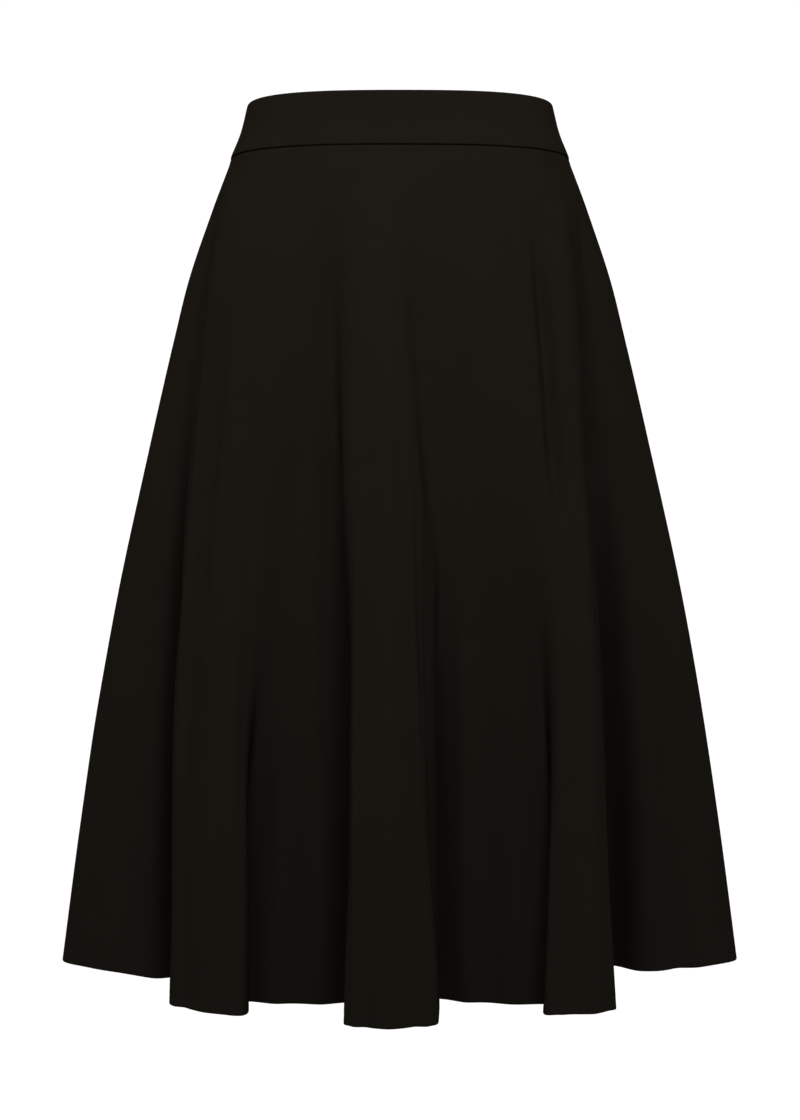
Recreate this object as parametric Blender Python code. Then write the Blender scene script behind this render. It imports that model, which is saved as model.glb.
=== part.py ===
"""A black A-line skirt that holds its worn, filled-out shape, with no wearer in it.

Metres, +Z up. The wearer faces -Y, and the wearer's left is +X. The origin is on the skirt's axis,
half-way up the waistband, where the skirt is held.

"Drop" is the height below the waistband's top edge. "Bearing" is the angle round the axis in degrees:
0 is centre front, 90 is the wearer's left side, 180 is centre back.
"""
import math
from collections import namedtuple

import bmesh
import bpy
import numpy as np

# ---------------------------------------------------------------- driving sizes
LENGTH = 0.693                  # waistband's top edge to the hem, measured straight down
BAND_HEIGHT_SIDE = 0.0435       # the waistband's lower edge dips a hair at centre front and back
BAND_HEIGHT_CENTRE = 0.0440
ORIGIN_DROP = 0.021
CLOTH = 0.0015                  # wall of a skirt panel
BAND_CLOTH = 0.0030             # the waistband is doubled cloth
BAND_PROUD = 0.0006             # its outer face stands this far outside the panels
BAND_EDGE = 0.0010              # rounding of its folded top edge
HEM_TURN = 0.008                # narrow hem, turned twice to the inside
HEM_CLOTH = 0.0024
SEAM_GAP = 0.0003

ZIP_END = 6                     # the concealed zip ends at this row of SKIRT_LEVELS, 23 cm down
ZIP_GAP = 0.0020                # between the two waistband ends, where the slider's neck passes
TAPE_START = 0.0017             # tape's inner edge, from the centre back line
TAPE_WIDTH = 0.0110
TAPE_CLOTH = 0.0006
COIL_WIDTH = 0.0026
COIL_DEPTH = 0.0012
COIL_TOP_DROP = 0.0132          # just below the slider

# The slider is made in its own frame: origin on the pull tab's hinge, +Z along the band, +Y away from it.
SLIDER_DROP = 0.0085            # the hinge, below the waistband's top edge
BODY_WIDTH, BODY_HEIGHT, BODY_DEPTH = 0.0052, 0.0085, 0.0018
BODY_BELOW_NECK = 0.0010
NECK_WIDTH, NECK_HEIGHT = 0.0011, 0.0062
BAIL_BAR = 0.0010               # thickness of the bail round its window
WINDOW_HEIGHT, WINDOW_DEPTH = 0.0036, 0.0019
WINDOW_BELOW_HINGE = 0.0010
TAB_CLEARANCE = 0.0004          # tab to waistband, at rest
TAB_THICKNESS = 0.0010
TAB_WIDTH, TAB_NARROW, TAB_LENGTH = 0.0048, 0.0040, 0.0200
TAB_WINDOW_WIDTH, TAB_WINDOW_LENGTH = 0.0022, 0.0060
TAB_END_STEPS = 6
METAL_EASING = 0.00015          # bevel on the slider's and tab's edges

ROUNDING_SEAM = 0.011           # how softly folds bend, at the waist seam and at the hem
ROUNDING_HEM = 0.0042
FOLD_START = 0.055              # drop where the folds begin

# Plain outline of the skirt without its folds, from the top down. "square" is the exponent of the
# superellipse: 2 is an ellipse, and more is squarer.
Section = namedtuple("Section", "drop half_width half_depth square")
SECTIONS = [
    Section(0.000,  0.1234, 0.0896, 2.80),
    Section(0.025,  0.1300, 0.0948, 2.65),
    Section(0.041,  0.1366, 0.1000, 2.55),
    Section(0.090,  0.1550, 0.1170, 2.35),
    Section(0.139,  0.1717, 0.1330, 2.20),
    Section(0.188,  0.1840, 0.1470, 2.10),
    Section(0.286,  0.2064, 0.1710, 2.00),
    Section(0.384,  0.2273, 0.1920, 2.00),
    Section(0.481,  0.2443, 0.2090, 2.00),
    Section(0.579,  0.2590, 0.2230, 2.00),
    Section(LENGTH, 0.2740, 0.2380, 2.00),
]

# One row for each stretch of cloth that faces outwards (a fold's crest) or lies at the bottom between
# two crests. The steep stretches between rows join one row's end to the next row's start.
# seam_from, seam_to: its two ends at the waist seam, as bearings.
# bearing, reach: the middle of the straight line between its ends at the hem.
# half: half of its width there. turn: how far its second end swings outwards, in degrees.
# crown: how far its middle bulges outwards. power: how late the fold deepens on its way down.
Fold = namedtuple("Fold", "name seam_from seam_to bearing reach half turn crown power")
FOLDS = [
    Fold("side_right",        -97, -83, -90.6, 0.2640, 0.0230,   0,  0.0110, 1.2),
    Fold("deep_front_right",  -80, -77, -59.7, 0.1900, 0.0090, -19, -0.0020, 0.9),
    Fold("flute_front_right", -74, -48, -37.8, 0.2316, 0.0338,  -2,  0.0035, 1.0),
    Fold("floor_front_right", -37, -24, -23.8, 0.1850, 0.0335, -21, -0.0090, 1.15),
    Fold("flute_front",       -17,   3,  -1.5, 0.2276, 0.0337,  -4,  0.0085, 1.1),
    Fold("floor_front_left",   10,  34,  20.2, 0.1740, 0.0305,  27, -0.0085, 1.15),
    Fold("flute_front_left",   46,  63,  35.9, 0.2329, 0.0267,  15,  0.0020, 1.0),
    Fold("deep_front_left",    67,  72,  73.4, 0.1727, 0.0140,  46, -0.0030, 0.9),
    Fold("panel_front_left",   76,  83,  79.1, 0.2165, 0.0235,  66,  0.0020, 1.1),
    Fold("side_left",          85,  95,  91.5, 0.2636, 0.0210,   0,  0.0110, 1.2),
    Fold("deep_back_left",    104, 109, 108.0, 0.1780, 0.0130, -40, -0.0030, 0.9),
    Fold("flute_back_left",   114, 138, 136.0, 0.2310, 0.0320,  -6,  0.0030, 1.0),
    Fold("floor_back_left",   147, 158, 156.5, 0.1790, 0.0290, -18, -0.0080, 1.15),
    Fold("flute_back",        168, 192, 178.5, 0.2270, 0.0350,   3,  0.0070, 1.1),
    Fold("floor_back_right",  201, 214, 201.0, 0.1800, 0.0300,  22, -0.0090, 1.15),
    Fold("flute_back_right",  222, 245, 221.5, 0.2330, 0.0300,   8,  0.0030, 1.0),
    Fold("deep_back_right",   250, 254, 246.5, 0.1840, 0.0120,  34, -0.0030, 0.9),
]
FOLD_NAMES = [fold.name for fold in FOLDS]
COURSE_LENGTH = 2 * len(FOLDS)      # each row is one count of the course, and the stretch after it another

# Columns of the faceted cloth within each row of FOLDS, and within the steep stretch after it.
CREST_COLUMNS = (0.0, 0.15, 0.5, 0.85)
STEEP_COLUMNS = (0.0, 0.2, 0.8)
SKIRT_LEVELS = (0.0, 0.03, 0.07, 0.11, 0.17, 0.23, 0.29, 0.39, 0.51, 0.63, 0.75, 0.87)
SAMPLES_PER_STRETCH = 24
RING_SAMPLES = 2048
SHARP_FROM = 50                 # degrees between faces that meet in a sharp edge

BLACK_CLOTH = (0.0089, 0.0077, 0.0060)
BLACK_TAPE = (0.0070, 0.0067, 0.0063)
BLACK_PAINT = (0.0120, 0.0115, 0.0110)


# ---------------------------------------------------------------- the skirt's surface
def section_value(column, drop):
    """Read one column of SECTIONS at any drop, on a smooth curve through the rows."""
    drops = np.array([section.drop for section in SECTIONS])
    values = np.array([getattr(section, column) for section in SECTIONS])
    slopes = np.gradient(values, drops)
    row = np.clip(np.searchsorted(drops, drop) - 1, 0, len(drops) - 2)
    step = drops[row + 1] - drops[row]
    t = np.clip((drop - drops[row]) / step, 0.0, 1.0)
    bend = step * (slopes[row] * t * (1 - t) ** 2 - slopes[row + 1] * t ** 2 * (1 - t))
    return values[row] + (values[row + 1] - values[row]) * t ** 2 * (3 - 2 * t) + bend


def outline_radius(bearing, drop):
    """Radius of the plain outline without folds."""
    angle = np.radians(bearing)
    square = section_value("square", drop)
    across = np.abs(np.sin(angle) / section_value("half_width", drop)) ** square
    forward = np.abs(np.cos(angle) / section_value("half_depth", drop)) ** square
    return (across + forward) ** (-1.0 / square)


def band_height(bearing):
    """Drop of the waist seam."""
    dip = BAND_HEIGHT_CENTRE - BAND_HEIGHT_SIDE
    return BAND_HEIGHT_SIDE + dip * np.cos(np.radians(bearing)) ** 2


def hem_line(fold):
    """A row's straight line at the hem: its middle, the way to its second end, and its crown."""
    outwards = np.exp(1j * math.radians(fold.bearing - 90))
    onwards = 1j * outwards * np.exp(-1j * math.radians(fold.turn))
    return fold.reach * outwards, fold.half * onwards, fold.crown * -1j * onwards


# The course runs once round the skirt. Each of its samples has a count, its bearing at the waist seam
# and at the hem, how far the hem lies inside the plain outline there, and its power.
Course = namedtuple("Course", "count seam hem inside power")


def fold_course():
    samples = []
    for row, fold in enumerate(FOLDS):
        after = FOLDS[(row + 1) % len(FOLDS)]
        after_seam = after.seam_from + (360 if after is FOLDS[0] else 0)
        middle, half, crown = hem_line(fold)
        after_middle, after_half, _ = hem_line(after)
        steep = (after_middle - after_half) - (middle + half)
        for t in np.arange(SAMPLES_PER_STRETCH) / SAMPLES_PER_STRETCH:
            seam = fold.seam_from + (fold.seam_to - fold.seam_from) * t
            hem = middle + half * (2 * t - 1) + crown * 4 * t * (1 - t)
            samples.append((2 * row + t, seam, hem, fold.power))
        for t in np.arange(SAMPLES_PER_STRETCH) / SAMPLES_PER_STRETCH:
            seam = fold.seam_to + (after_seam - fold.seam_to) * t
            hem = middle + half + steep * t
            samples.append((2 * row + 1 + t, seam, hem, fold.power + (after.power - fold.power) * t))
    count, seam, hem, power = (np.array(column) for column in zip(*samples))
    hem_bearing = np.degrees(np.unwrap(np.angle(hem))) + 90
    hem_bearing -= 360 * np.round((hem_bearing[0] - seam[0]) / 360)
    return Course(count, seam, hem_bearing, outline_radius(hem_bearing, LENGTH) - np.abs(hem), power)


COURSE = fold_course()


def course_drop(level):
    """Drop of each sample of the course: level 0 is the waist seam and 1 is the hem."""
    seam = band_height(COURSE.seam)
    return seam + level * (LENGTH - seam)


def level_drop(drop):
    """The same drop all the way round."""
    return np.full_like(COURSE.count, drop)


class Ring:
    """The outside of the cloth, once round, as plan positions x + yj with a drop at each."""

    def __init__(self, drop):
        plan = self.folded(drop)
        closed = np.append(plan, plan[0])
        self.course_length = np.concatenate([[0], np.cumsum(np.abs(np.diff(closed)))])
        self.course_drop = np.append(drop, drop[0])
        self.total = self.course_length[-1]
        self.even = np.arange(RING_SAMPLES) * self.total / RING_SAMPLES
        spaced = (np.interp(self.even, self.course_length, closed.real)
                  + 1j * np.interp(self.even, self.course_length, closed.imag))
        self.plan = self.softened(spaced, np.mean(drop) / LENGTH)
        tangent = np.roll(self.plan, -1) - np.roll(self.plan, 1)
        self.normal = -1j * tangent / np.abs(tangent)

    @staticmethod
    def folded(drop):
        """The folds with sharp corners. They turn and deepen as the skirt spreads on its way down."""
        seam_width = section_value("half_width", BAND_HEIGHT_SIDE)
        spread = (section_value("half_width", drop) - seam_width) / (SECTIONS[-1].half_width - seam_width)
        bearing = COURSE.seam + (COURSE.hem - COURSE.seam) * np.clip(spread, 0, 1)
        fall = np.clip((drop - FOLD_START) / (LENGTH - FOLD_START), 0, 1)
        radius = outline_radius(bearing, drop) - COURSE.inside * fall ** COURSE.power
        return radius * np.exp(1j * np.radians(bearing - 90))

    def softened(self, plan, depth):
        """Bend the corners round, by a weighted mean of each point's neighbours along the ring."""
        rounding = ROUNDING_SEAM + (ROUNDING_HEM - ROUNDING_SEAM) * depth
        pitch = 2 * math.pi * np.fft.fftfreq(RING_SAMPLES, self.total / RING_SAMPLES)
        return np.fft.ifft(np.fft.fft(plan) * np.exp(-0.5 * (pitch * rounding) ** 2))

    def distance(self, count):
        """Length along the ring at a count of the course, such as 0.5 for the first row's middle."""
        return np.interp(count, np.append(COURSE.count, COURSE_LENGTH), self.course_length)

    def points(self, distance, out=0.0):
        """World positions at lengths along the ring, moved out by a distance."""
        wrapped = np.mod(distance, self.total)
        x, y, normal_x, normal_y = (
            np.interp(wrapped, self.even, part, period=self.total)
            for part in (self.plan.real, self.plan.imag, self.normal.real, self.normal.imag))
        drop = np.interp(wrapped, self.course_length, self.course_drop)
        return np.column_stack([x + out * normal_x, y + out * normal_y, ORIGIN_DROP - drop])


# ---------------------------------------------------------------- materials and solids
def material(name, colour, roughness, metallic=0.0):
    made = bpy.data.materials.new(name)
    made.use_nodes = True
    shader = made.node_tree.nodes["Principled BSDF"]
    shader.inputs["Base Color"].default_value = (*colour, 1.0)
    shader.inputs["Roughness"].default_value = roughness
    shader.inputs["Metallic"].default_value = metallic
    return made


def new_object(name, mesh, slot):
    mesh.materials.append(slot)
    mesh.shade_smooth()
    mesh.set_sharp_from_angle(angle=math.radians(SHARP_FROM))
    made = bpy.data.objects.new(name, mesh)
    bpy.context.collection.objects.link(made)
    return made


def wall(name, outer, inner, slot):
    """Close two grids of points, [level][column] from the top down, into one solid wall."""
    levels, columns = outer.shape[:2]
    vertices = np.concatenate([outer.reshape(-1, 3), inner.reshape(-1, 3)])

    def at(side, level, column):
        return side * levels * columns + level * columns + column

    faces = []
    for level in range(levels - 1):
        for column in range(columns - 1):
            corners = [(level, column), (level + 1, column), (level + 1, column + 1), (level, column + 1)]
            faces.append([at(0, *corner) for corner in corners])
            faces.append([at(1, *corner) for corner in reversed(corners)])
    for column in range(columns - 1):
        for level, (first, second) in ((0, (column, column + 1)), (levels - 1, (column + 1, column))):
            faces.append([at(0, level, first), at(0, level, second),
                          at(1, level, second), at(1, level, first)])
    for level in range(levels - 1):
        for column, (first, second) in ((0, (level + 1, level)), (columns - 1, (level, level + 1))):
            faces.append([at(0, first, column), at(0, second, column),
                          at(1, second, column), at(1, first, column)])
    mesh = bpy.data.meshes.new(name)
    mesh.from_pydata(vertices.tolist(), [], faces)
    mesh.validate()
    return new_object(name, mesh, slot)


def middle_of(name):
    """Count along the course of the middle of a named row of FOLDS."""
    return 2 * FOLD_NAMES.index(name) + 0.5


def columns_between(first, last):
    """Counts of the columns from one seam to the next."""
    counts = []
    for row in range(len(FOLDS)):
        counts += [2 * row + share for share in CREST_COLUMNS]
        counts += [2 * row + 1 + share for share in STEEP_COLUMNS]
    counts = np.array(counts + [count + COURSE_LENGTH for count in counts])
    between = counts[(counts > first) & (counts < last)]
    return np.concatenate([[first], between, [last]])


def cut_distances(ring, counts, gap_from, gap_to):
    """Lengths along the ring of a piece's columns, with its two ends drawn back from their seams."""
    laps = np.floor(counts / COURSE_LENGTH)
    distances = ring.distance(counts - laps * COURSE_LENGTH) + laps * ring.total
    distances[0] += gap_from / 2
    distances[-1] -= gap_to / 2
    return distances


# ---------------------------------------------------------------- the pieces
def skirt_panel(name, first, last, slot):
    """A skirt panel: a wall from the waist seam to the hem, thicker where the hem is turned."""
    counts = columns_between(first, last)
    panel_height = LENGTH - BAND_HEIGHT_CENTRE
    turn_top, turn_step = 1 - HEM_TURN / panel_height, SEAM_GAP / panel_height
    levels = [(level, CLOTH) for level in SKIRT_LEVELS]
    levels += [(turn_top - turn_step, CLOTH), (turn_top, HEM_CLOTH), (1.0, HEM_CLOTH)]
    outer, inner = [], []
    for level, thickness in levels:
        drop = course_drop(level)
        if level == 0.0:
            drop = drop + SEAM_GAP / 2
        ring = Ring(drop)
        distances = cut_distances(ring, counts, SEAM_GAP, SEAM_GAP)
        outer.append(ring.points(distances))
        inner.append(ring.points(distances, -thickness))
    return wall(name, np.array(outer), np.array(inner), slot)


def waistband_piece(name, first, last, gap_from, gap_to, slot):
    """A piece of the waistband: doubled cloth with a folded top edge."""
    counts = columns_between(first, last)
    bottom = band_height(COURSE.seam) - SEAM_GAP / 2
    outside, inside = BAND_PROUD, BAND_PROUD - BAND_CLOTH
    levels = [
        # drop                 outer face           inner face
        (level_drop(0.0),       outside - BAND_EDGE, inside + BAND_EDGE),
        (level_drop(BAND_EDGE), outside,             inside),
        (bottom / 2,            outside,             inside),
        (bottom,                outside,             inside),
    ]
    outer, inner = [], []
    for drop, outer_face, inner_face in levels:
        ring = Ring(drop)
        distances = cut_distances(ring, counts, gap_from, gap_to)
        outer.append(ring.points(distances, outer_face))
        inner.append(ring.points(distances, inner_face))
    return wall(name, np.array(outer), np.array(inner), slot)


def zip_strip(name, distances, rows_above, depth, slot):
    """A strip sewn inside the centre back edges, over the same rows as the cloth that it lies on.

    distances: its columns, from the centre back line. rows_above: its rows on the waistband."""
    behind_band = BAND_CLOTH - BAND_PROUD + SEAM_GAP
    behind_panel = CLOTH + SEAM_GAP
    rows = [(drop, behind_band) for drop in rows_above] + [(course_drop(0.0), behind_band)]
    rows += [(course_drop(level), behind_panel) for level in SKIRT_LEVELS[1:ZIP_END + 1]]
    outer, inner = [], []
    for drop, cover in rows:
        ring = Ring(drop)
        outer.append(faceted_points(ring, distances, -cover))
        inner.append(faceted_points(ring, distances, -cover - depth))
    return wall(name, np.array(outer), np.array(inner), slot)


def faceted_points(ring, distances, out):
    """Points on the flat facets beside centre back, at distances from it."""
    middle = middle_of("flute_back")
    beside = CREST_COLUMNS[-1] - 0.5
    counts = middle + np.array([-beside, 0.0, beside])
    corners = ring.points(ring.distance(counts), out)
    corner_distances = ring.distance(counts) - ring.distance(middle)
    return np.column_stack([np.interp(distances, corner_distances, corners[:, axis]) for axis in range(3)])


def extruded(name, outline, holes, thickness, axis, slot):
    """Extrude a flat outline with holes, both ways from its own plane, along X or Y."""
    mesh = bmesh.new()
    edges = []
    for loop in [outline] + holes:
        corners = []
        for first, second in loop:
            spot = (-thickness / 2, first, second) if axis == "X" else (first, -thickness / 2, second)
            corners.append(mesh.verts.new(spot))
        edges += [mesh.edges.new((corners[i - 1], corners[i])) for i in range(len(corners))]
    bmesh.ops.triangle_fill(mesh, edges=edges, use_beauty=True)
    sides = bmesh.ops.extrude_face_region(mesh, geom=mesh.faces[:])
    moved = [item for item in sides["geom"] if isinstance(item, bmesh.types.BMVert)]
    offset = (thickness, 0, 0) if axis == "X" else (0, thickness, 0)
    bmesh.ops.translate(mesh, verts=moved, vec=offset)
    bmesh.ops.recalc_face_normals(mesh, faces=mesh.faces[:])
    data = bpy.data.meshes.new(name)
    mesh.to_mesh(data)
    mesh.free()
    return new_object(name, data, slot)


def ease_edges(made):
    eased = made.modifiers.new("eased", "BEVEL")
    eased.width = METAL_EASING
    eased.segments = 1
    eased.limit_method = "ANGLE"


def box_corners(low_first, high_first, low_second, high_second):
    return [(low_first, low_second), (high_first, low_second),
            (high_first, high_second), (low_first, high_second)]


def rounded_end(half_width, length):
    """A half circle that closes a tab at its lower end, from its right side to its left."""
    centre = half_width - length
    angles = [math.pi * step / TAB_END_STEPS for step in range(TAB_END_STEPS + 1)]
    return [(half_width * math.cos(angle), centre - half_width * math.sin(angle)) for angle in angles]


def band_face_at_back(drop):
    """A point on the waistband's outer face, on the centre back line."""
    ring = Ring(level_drop(drop))
    return ring.points(np.array([ring.distance(middle_of("flute_back"))]), BAND_PROUD)[0]


def zip_slider_and_pull(paint):
    """The slider behind the waistband, its neck and bail through the gap, and the tab on the bail."""
    face, tip = (band_face_at_back(drop) for drop in (SLIDER_DROP, SLIDER_DROP + TAB_LENGTH))
    lean = math.atan2(tip[1] - face[1], face[2] - tip[2])

    hinge_out = TAB_CLEARANCE + TAB_THICKNESS / 2
    frame = bpy.data.objects.new("slider_frame", None)
    frame.location = (face[0], face[1] + hinge_out * math.cos(lean), face[2] + hinge_out * math.sin(lean))
    frame.rotation_euler = (lean, 0, 0)
    bpy.context.collection.objects.link(frame)

    body_face = -hinge_out - BAND_CLOTH - 2 * SEAM_GAP - TAPE_CLOTH
    window_low = -TAB_THICKNESS / 2 - 2 * SEAM_GAP
    window = box_corners(window_low, window_low + WINDOW_DEPTH,
                         -WINDOW_BELOW_HINGE, WINDOW_HEIGHT - WINDOW_BELOW_HINGE)
    bail_out = window_low + WINDOW_DEPTH + BAIL_BAR
    neck_low = -WINDOW_BELOW_HINGE - BAIL_BAR
    neck = box_corners(body_face - BODY_DEPTH / 2, bail_out, neck_low, neck_low + NECK_HEIGHT)
    slider = extruded("zip_slider", neck, [window], NECK_WIDTH, "X", paint)
    slider.parent = frame

    body_low = neck_low - BODY_BELOW_NECK
    outline = box_corners(body_face - BODY_DEPTH, body_face, body_low, body_low + BODY_HEIGHT)
    body = extruded("slider_body", outline, [], BODY_WIDTH, "X", paint)
    body.parent = frame
    body.hide_render = True
    body.display_type = "WIRE"
    joined = slider.modifiers.new("body", "BOOLEAN")
    joined.operation = "UNION"
    joined.object = body
    ease_edges(slider)

    bar = TAB_THICKNESS / 2
    outline = [(-TAB_WIDTH / 2, bar), (TAB_WIDTH / 2, bar)] + rounded_end(TAB_NARROW / 2, TAB_LENGTH)
    half_window = TAB_WINDOW_WIDTH / 2
    hole = box_corners(-half_window, half_window, -bar - TAB_WINDOW_LENGTH, -bar)
    pull = extruded("zip_pull", outline, [hole], TAB_THICKNESS, "Y", paint)
    pull.parent = frame
    ease_edges(pull)


# ---------------------------------------------------------------- build
def build():
    for old in list(bpy.data.objects):
        bpy.data.objects.remove(old, do_unlink=True)

    cloth = material("black_cloth", BLACK_CLOTH, 0.85)
    tape = material("black_tape", BLACK_TAPE, 0.9)
    paint = material("black_painted_metal", BLACK_PAINT, 0.4)

    right_side = middle_of("side_right")
    left_side = middle_of("side_left")
    centre_back = middle_of("flute_back")
    full_turn = right_side + COURSE_LENGTH

    skirt_panel("skirt_front", right_side, left_side, cloth)
    skirt_panel("skirt_back_left", left_side, centre_back, cloth)
    skirt_panel("skirt_back_right", centre_back, full_turn, cloth)
    waistband_piece("waistband_front", right_side, left_side, SEAM_GAP, SEAM_GAP, cloth)
    waistband_piece("waistband_back_left", left_side, centre_back, SEAM_GAP, ZIP_GAP, cloth)
    waistband_piece("waistband_back_right", centre_back, full_turn, ZIP_GAP, SEAM_GAP, cloth)

    band_foot = band_height(COURSE.seam)
    tape_rows = [level_drop(BAND_EDGE), band_foot / 2]
    tape_outer_edge = TAPE_START + TAPE_WIDTH
    zip_strip("zip_tape_left", [-tape_outer_edge, -TAPE_START], tape_rows, TAPE_CLOTH, tape)
    zip_strip("zip_tape_right", [TAPE_START, tape_outer_edge], tape_rows, TAPE_CLOTH, tape)
    half_coil = COIL_WIDTH / 2
    coil_rows = [level_drop(COIL_TOP_DROP), band_foot / 2]
    zip_strip("zip_coil", [-half_coil, 0.0, half_coil], coil_rows, COIL_DEPTH, tape)
    zip_slider_and_pull(paint)


build()
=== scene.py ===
import math
from collections import namedtuple
from functools import lru_cache

import bpy
import numpy as np
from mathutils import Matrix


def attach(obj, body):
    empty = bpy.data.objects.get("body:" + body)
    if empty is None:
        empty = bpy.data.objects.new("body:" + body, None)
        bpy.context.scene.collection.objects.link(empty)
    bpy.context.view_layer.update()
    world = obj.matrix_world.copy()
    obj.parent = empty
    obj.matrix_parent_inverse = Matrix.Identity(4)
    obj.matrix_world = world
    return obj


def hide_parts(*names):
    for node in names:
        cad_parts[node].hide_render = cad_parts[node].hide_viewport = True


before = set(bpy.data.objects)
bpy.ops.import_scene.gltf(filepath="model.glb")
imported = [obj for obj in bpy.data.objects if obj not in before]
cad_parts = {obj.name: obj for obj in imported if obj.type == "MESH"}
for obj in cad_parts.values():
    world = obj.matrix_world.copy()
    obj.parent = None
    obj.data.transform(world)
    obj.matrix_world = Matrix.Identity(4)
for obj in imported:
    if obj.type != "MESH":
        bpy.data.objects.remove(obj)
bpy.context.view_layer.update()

# ======================================================================================= skirt panels
# One front panel and two back panels of smooth, matt black suiting, each cut as a flared sector and
# sewn at the sides and centre back. Worn, the flare falls from the hips in soft flutes, down to a
# narrow hem that is turned twice to the inside.
LENGTH = 0.693                  # waistband's top edge to the hem, straight down
BAND_HEIGHT_SIDE = 0.0435
BAND_HEIGHT_CENTRE = 0.0440
ORIGIN_DROP = 0.021
CLOTH = 0.0015
HEM_CLOTH = 0.0024
SEAM_GAP = 0.0003
ROUNDING_SEAM = 0.011           # how softly folds bend, at the waist seam and at the hem
ROUNDING_HEM = 0.0030
RELIEF_SMOOTH = 0.012           # creases push the cloth along directions smoothed this much
CREASE_ROUNDING = 0.0011
UNDER_BAND = 0.0007             # the panels sink in this much under the band's edge,
UNDER_BAND_IN = 0.0065          # over this height, and come out again over the next
UNDER_BAND_OUT = 0.0300
FOLD_START = 0.055

# Plain outline of the worn skirt without folds, from the top edge down.
Section = namedtuple("Section", "drop half_width half_depth square")
SECTIONS = [
    Section(0.000,  0.1234, 0.0896, 2.80),
    Section(0.025,  0.1300, 0.0948, 2.65),
    Section(0.041,  0.1366, 0.1000, 2.55),
    Section(0.090,  0.1550, 0.1170, 2.35),
    Section(0.139,  0.1717, 0.1330, 2.20),
    Section(0.188,  0.1840, 0.1470, 2.10),
    Section(0.286,  0.2064, 0.1710, 2.00),
    Section(0.384,  0.2273, 0.1920, 2.00),
    Section(0.481,  0.2443, 0.2090, 2.00),
    Section(0.579,  0.2590, 0.2230, 2.00),
    Section(LENGTH, 0.2740, 0.2380, 2.00),
]

# Each row is a fold's outward-facing stretch, or the bottom between two folds: its two bearings at the
# waist seam, and at the hem its middle (bearing and reach), half width, turn, crown and lateness.
Fold = namedtuple("Fold", "name seam_from seam_to bearing reach half turn crown power")
FOLDS = [
    Fold("side_right",        -97, -83, -90.6, 0.2640, 0.0230,   0,  0.0110, 1.2),
    Fold("deep_front_right",  -80, -77, -59.7, 0.1900, 0.0090, -19, -0.0020, 0.9),
    Fold("flute_front_right", -74, -48, -37.8, 0.2316, 0.0338,  -2,  0.0035, 1.0),
    Fold("floor_front_right", -37, -24, -23.8, 0.1850, 0.0335, -21, -0.0090, 1.15),
    Fold("flute_front",       -17,   3,  -1.5, 0.2276, 0.0337,  -4,  0.0085, 1.1),
    Fold("floor_front_left",   10,  34,  20.2, 0.1740, 0.0305,  27, -0.0085, 1.15),
    Fold("flute_front_left",   46,  63,  35.9, 0.2329, 0.0267,  15,  0.0020, 1.0),
    Fold("deep_front_left",    67,  72,  73.4, 0.1727, 0.0140,  46, -0.0030, 0.9),
    Fold("panel_front_left",   76,  83,  79.1, 0.2165, 0.0235,  66,  0.0020, 1.1),
    Fold("side_left",          85,  95,  91.5, 0.2636, 0.0210,   0,  0.0110, 1.2),
    Fold("deep_back_left",    104, 109, 108.0, 0.1780, 0.0130, -40, -0.0030, 0.9),
    Fold("flute_back_left",   114, 138, 136.0, 0.2310, 0.0320,  -6,  0.0030, 1.0),
    Fold("floor_back_left",   147, 158, 156.5, 0.1790, 0.0290, -18, -0.0080, 1.15),
    Fold("flute_back",        168, 192, 178.5, 0.2270, 0.0350,   3,  0.0070, 1.1),
    Fold("floor_back_right",  201, 214, 201.0, 0.1800, 0.0300,  22, -0.0090, 1.15),
    Fold("flute_back_right",  222, 245, 221.5, 0.2330, 0.0300,   8,  0.0030, 1.0),
    Fold("deep_back_right",   250, 254, 246.5, 0.1840, 0.0120,  34, -0.0030, 0.9),
]
FOLD_NAMES = [fold.name for fold in FOLDS]
COURSE_LENGTH = 2 * len(FOLDS)
SAMPLES_PER_STRETCH = 24
RING_SAMPLES = 2048

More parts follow.
